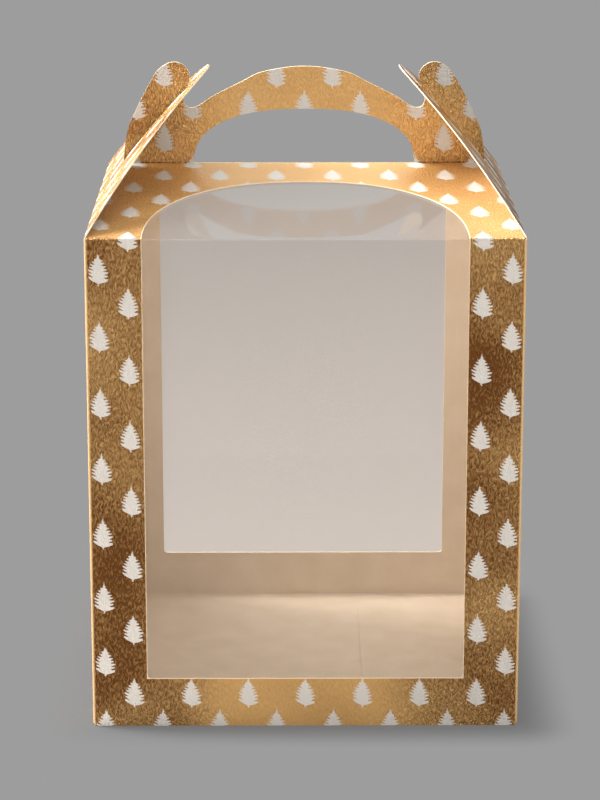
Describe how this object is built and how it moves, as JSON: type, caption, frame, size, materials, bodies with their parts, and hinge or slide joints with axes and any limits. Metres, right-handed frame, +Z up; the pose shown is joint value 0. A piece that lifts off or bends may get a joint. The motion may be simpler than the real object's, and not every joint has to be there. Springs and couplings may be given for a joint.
{
  "type": "gable cake box",
  "caption": "Tall gable-top paperboard carry box with arched clear windows front and back, an upright strap handle locked by slotted side flaps, and a tuck-in base.",
  "frame": {"origin": "centre of the base's outline, on the surface that the box stands on", "axes": "+Z up, front window towards -Y, handle strap along X"},
  "size_m": [0.203, 0.193, 0.305],
  "materials": {
    "foil_board": "satin",
    "board_inside": "matte",
    "window_film": "gloss"
  },
  "bodies": {
    "sleeve": {"front_panel": "foil_board", "back_panel": "foil_board", "left_side_panel": "foil_board", "right_side_panel": "foil_board", "glue_seam_flap": "board_inside", "front_window_film": "window_film", "back_window_film": "window_film"},
    "front_roof": {"front_roof_panel": "foil_board", "front_roof_window_film": "window_film"},
    "back_roof": {"back_roof_panel": "foil_board", "back_roof_window_film": "window_film"},
    "front_handle": {"front_handle_panel": "foil_board"},
    "back_handle": {"back_handle_panel": "foil_board"},
    "left_lock": {"left_lock_flap": "foil_board"},
    "right_lock": {"right_lock_flap": "foil_board"},
    "base": {"bottom_panel": "foil_board"},
    "tuck": {"bottom_tuck_flap": "foil_board"},
    "left_dust": {"left_dust_flap": "foil_board"},
    "right_dust": {"right_dust_flap": "foil_board"}
  },
  "joints": [
    {"name": "front_roof_fold", "type": "hinge", "parent": "sleeve", "child": "front_roof", "pos_m": [0, -0.0965, 0.238], "axis": [1, 0, 0], "range_deg": [0, 60]},
    {"name": "back_roof_fold", "type": "hinge", "parent": "sleeve", "child": "back_roof", "pos_m": [0, 0.0965, 0.238], "axis": [-1, 0, 0], "range_deg": [0, 60]},
    {"name": "front_handle_fold", "type": "hinge", "parent": "front_roof", "child": "front_handle", "pos_m": [0, -0.00065, 0.2557], "axis": [-1, 0, 0], "range_deg": [0, 60]},
    {"name": "back_handle_fold", "type": "hinge", "parent": "back_roof", "child": "back_handle", "pos_m": [0, 0.00065, 0.2557], "axis": [1, 0, 0], "range_deg": [0, 60]},
    {"name": "left_lock_fold", "type": "hinge", "parent": "sleeve", "child": "left_lock", "pos_m": [-0.1015, 0, 0.238], "axis": [0, -1, 0], "range_deg": [0, 210]},
    {"name": "right_lock_fold", "type": "hinge", "parent": "sleeve", "child": "right_lock", "pos_m": [0.1015, 0, 0.238], "axis": [0, 1, 0], "range_deg": [0, 210]},
    {"name": "base_fold", "type": "hinge", "parent": "sleeve", "child": "base", "pos_m": [0, 0.0965, 0], "axis": [1, 0, 0], "range_deg": [0, 110]},
    {"name": "tuck_fold", "type": "hinge", "parent": "base", "child": "tuck", "pos_m": [0, -0.095, 0], "axis": [1, 0, 0], "range_deg": [0, 82.5]},
    {"name": "left_dust_fold", "type": "hinge", "parent": "sleeve", "child": "left_dust", "pos_m": [-0.101, 0, 0.0013], "axis": [0, -1, 0], "range_deg": [0, 85]},
    {"name": "right_dust_fold", "type": "hinge", "parent": "sleeve", "child": "right_dust", "pos_m": [0.101, 0, 0.0013], "axis": [0, 1, 0], "range_deg": [0, 85]}
  ],
  "couplings": [
    {"joint": "back_roof_fold", "follows": "front_roof_fold", "ratio": 1},
    {"joint": "front_handle_fold", "follows": "front_roof_fold", "ratio": 1},
    {"joint": "back_handle_fold", "follows": "front_roof_fold", "ratio": 1},
    {"joint": "left_lock_fold", "follows": "front_roof_fold", "ratio": 3.5},
    {"joint": "right_lock_fold", "follows": "front_roof_fold", "ratio": 3.5},
    {"joint": "tuck_fold", "follows": "base_fold", "ratio": 0.75}
  ]
}
